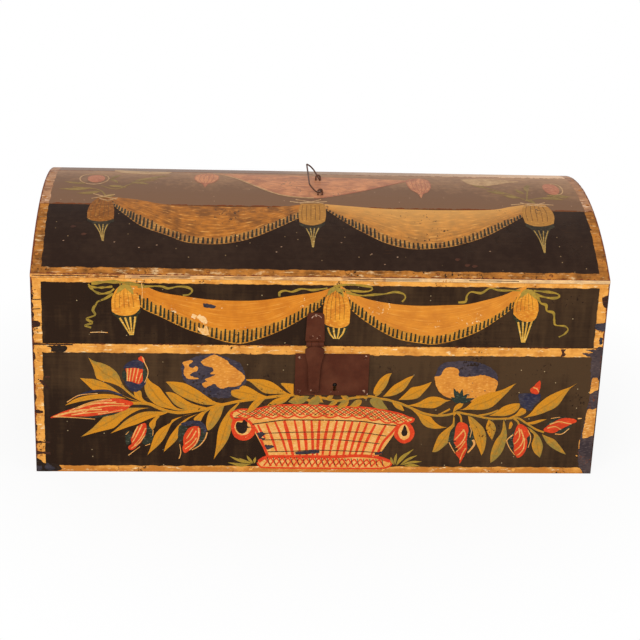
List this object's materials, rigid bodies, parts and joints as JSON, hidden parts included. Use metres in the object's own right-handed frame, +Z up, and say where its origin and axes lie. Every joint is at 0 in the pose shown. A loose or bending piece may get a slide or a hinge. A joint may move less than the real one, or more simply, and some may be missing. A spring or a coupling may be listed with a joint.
{
  "type": "wedding chest",
  "caption": "Low dome-lidded chest of thin painted boards: lid hinged at the back, swinging iron hasp with staple, lock plate with sliding bolt, and a wire bail on top.",
  "frame": {"origin": "centre of the underside of the bottom board, on the surface it stands on", "axes": "+X to the right along the front, +Y from the front to the back, +Z up"},
  "size_m": [0.56, 0.3269, 0.2772],
  "materials": {
    "painted_beech": "oil paint under aged varnish",
    "bare_beech": "bare, darkened",
    "russet_iron": "red-brown paint over hammered sheet iron",
    "dark_iron": "rusted wrought iron",
    "bright_iron": "filed, oiled"
  },
  "bodies": {
    "chest": {"front_board": "painted_beech", "back_board": "painted_beech", "left_end_board": "painted_beech", "right_end_board": "painted_beech", "bottom_board": "bare_beech", "corner_nails": "dark_iron", "bottom_nails": "dark_iron", "lock_plate": "russet_iron", "lock_plate_nails": "dark_iron", "bolt_guides": "bright_iron", "lock_spring": "bright_iron", "key_bridge": "bright_iron", "key_post": "bright_iron", "hinge_lower_leaves": "russet_iron", "hinge_lower_nails": "dark_iron", "hinge_pins": "dark_iron"},
    "bolt": {"lock_bolt": "bright_iron"},
    "lid": {"lid_front_rail": "painted_beech", "lid_back_rail": "painted_beech", "lid_left_end": "painted_beech", "lid_right_end": "painted_beech", "dome_front_plank": "painted_beech", "dome_top_plank": "painted_beech", "dome_back_plank": "painted_beech", "dome_back_strip": "painted_beech", "rail_nails": "dark_iron", "dome_end_nails": "dark_iron", "dome_edge_nails": "dark_iron", "hinge_upper_leaves": "russet_iron", "hinge_upper_nails": "dark_iron", "hasp_plate": "russet_iron", "hasp_plate_nails": "dark_iron", "hasp_pin": "dark_iron", "bail_staples": "dark_iron"},
    "hasp": {"hasp": "russet_iron", "hasp_staple": "dark_iron", "hasp_rivets": "dark_iron"},
    "bail": {"bail": "dark_iron"}
  },
  "joints": [
    {"name": "lid_hinge", "type": "hinge", "parent": "chest", "child": "lid", "pos_m": [0, 0.1585, 0.13715], "axis": [-1, 0, 0], "range_deg": [0, 105]},
    {"name": "hasp_hinge", "type": "hinge", "parent": "lid", "child": "hasp", "pos_m": [-0.0064, -0.1626, 0.1399], "axis": [-1, 0, 0], "range_deg": [0, 165]},
    {"name": "bail_swing", "type": "hinge", "parent": "lid", "child": "bail", "pos_m": [0.0015, -0.044, 0.26126], "axis": [0, 0.9963, 0.0861], "range_deg": [-48, 142]},
    {"name": "bolt_slide", "type": "slide", "parent": "chest", "child": "bolt", "axis": [-1, 0, 0], "range_m": [0, 0.007]}
  ]
}
